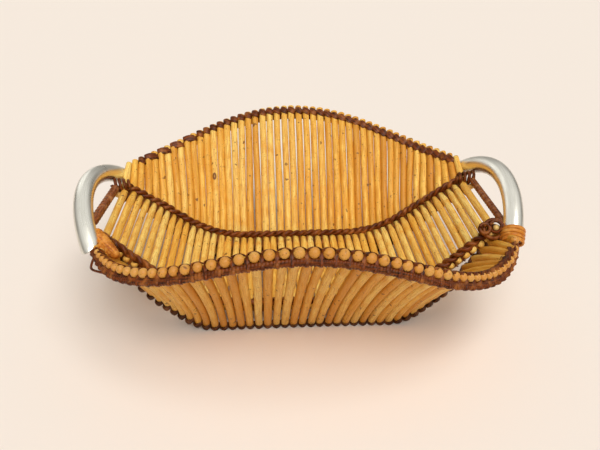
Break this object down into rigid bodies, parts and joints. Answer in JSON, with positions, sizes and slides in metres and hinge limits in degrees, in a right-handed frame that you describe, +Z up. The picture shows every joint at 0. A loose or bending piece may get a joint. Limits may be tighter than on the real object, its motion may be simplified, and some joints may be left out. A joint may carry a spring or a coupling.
{
  "type": "woven storage basket",
  "caption": "Boat-shaped rattan stick basket with fanned front and back walls, dark cane lashings and two bent aluminium tube handles.",
  "frame": {"origin": "centre of the footprint of the whole basket, on the surface that it stands on", "axes": "+X towards the right handle, -Y towards the front wall, +Z up"},
  "size_m": [0.311, 0.2687, 0.1098],
  "materials": {
    "wall_rattan": "satin, peeled rattan sticks, golden amber",
    "floor_rattan": "satin, peeled rattan sticks, light honey",
    "dark_cane": "semi-gloss, dark red-brown cane",
    "orange_cane": "satin, orange-brown cane",
    "aluminium_tube": "satin"
  },
  "bodies": {
    "root": {"front_stick_01": "wall_rattan", "front_stick_02": "wall_rattan", "front_stick_03": "wall_rattan", "front_stick_04": "wall_rattan", "front_stick_05": "wall_rattan", "front_stick_06": "wall_rattan", "front_stick_07": "wall_rattan", "front_stick_08": "wall_rattan", "front_stick_09": "wall_rattan", "front_stick_10": "wall_rattan", "front_stick_11": "wall_rattan", "front_stick_12": "wall_rattan", "front_stick_13": "wall_rattan", "front_stick_14": "wall_rattan", "front_stick_15": "wall_rattan", "front_stick_16": "wall_rattan", "front_stick_17": "wall_rattan", "front_stick_18": "wall_rattan", "front_stick_19": "wall_rattan", "front_stick_20": "wall_rattan", "front_stick_21": "wall_rattan", "front_stick_22": "wall_rattan", "front_stick_23": "wall_rattan", "front_stick_24": "wall_rattan", "front_stick_25": "wall_rattan", "front_stick_26": "wall_rattan", "front_stick_27": "wall_rattan", "front_stick_28": "wall_rattan", "front_stick_29": "wall_rattan", "front_stick_30": "wall_rattan", "front_stick_31": "wall_rattan", "front_stick_32": "wall_rattan", "front_stick_33": "wall_rattan", "front_stick_34": "wall_rattan", "front_stick_35": "wall_rattan", "front_stick_36": "wall_rattan", "front_stick_37": "wall_rattan", "front_stick_38": "wall_rattan", "front_stick_39": "wall_rattan", "front_stick_40": "wall_rattan", "front_stick_41": "wall_rattan", "front_stick_42": "wall_rattan", "front_stick_43": "wall_rattan", "front_stick_44": "wall_rattan", "front_stick_45": "wall_rattan", "front_stick_46": "wall_rattan", "front_stick_47": "wall_rattan", "front_stick_48": "wall_rattan", "front_stick_49": "wall_rattan", "back_wall": "wall_rattan", "floor_mat": "floor_rattan", "front_base_lashing": "dark_cane", "front_floor_lashing": "dark_cane", "back_floor_lashing": "dark_cane", "front_rim_lashing": "dark_cane", "back_rim_lashing": "dark_cane", "left_handle": "aluminium_tube", "right_handle": "aluminium_tube", "left_end_binding": "orange_cane", "right_end_binding": "orange_cane"}
  },
  "joints": []
}
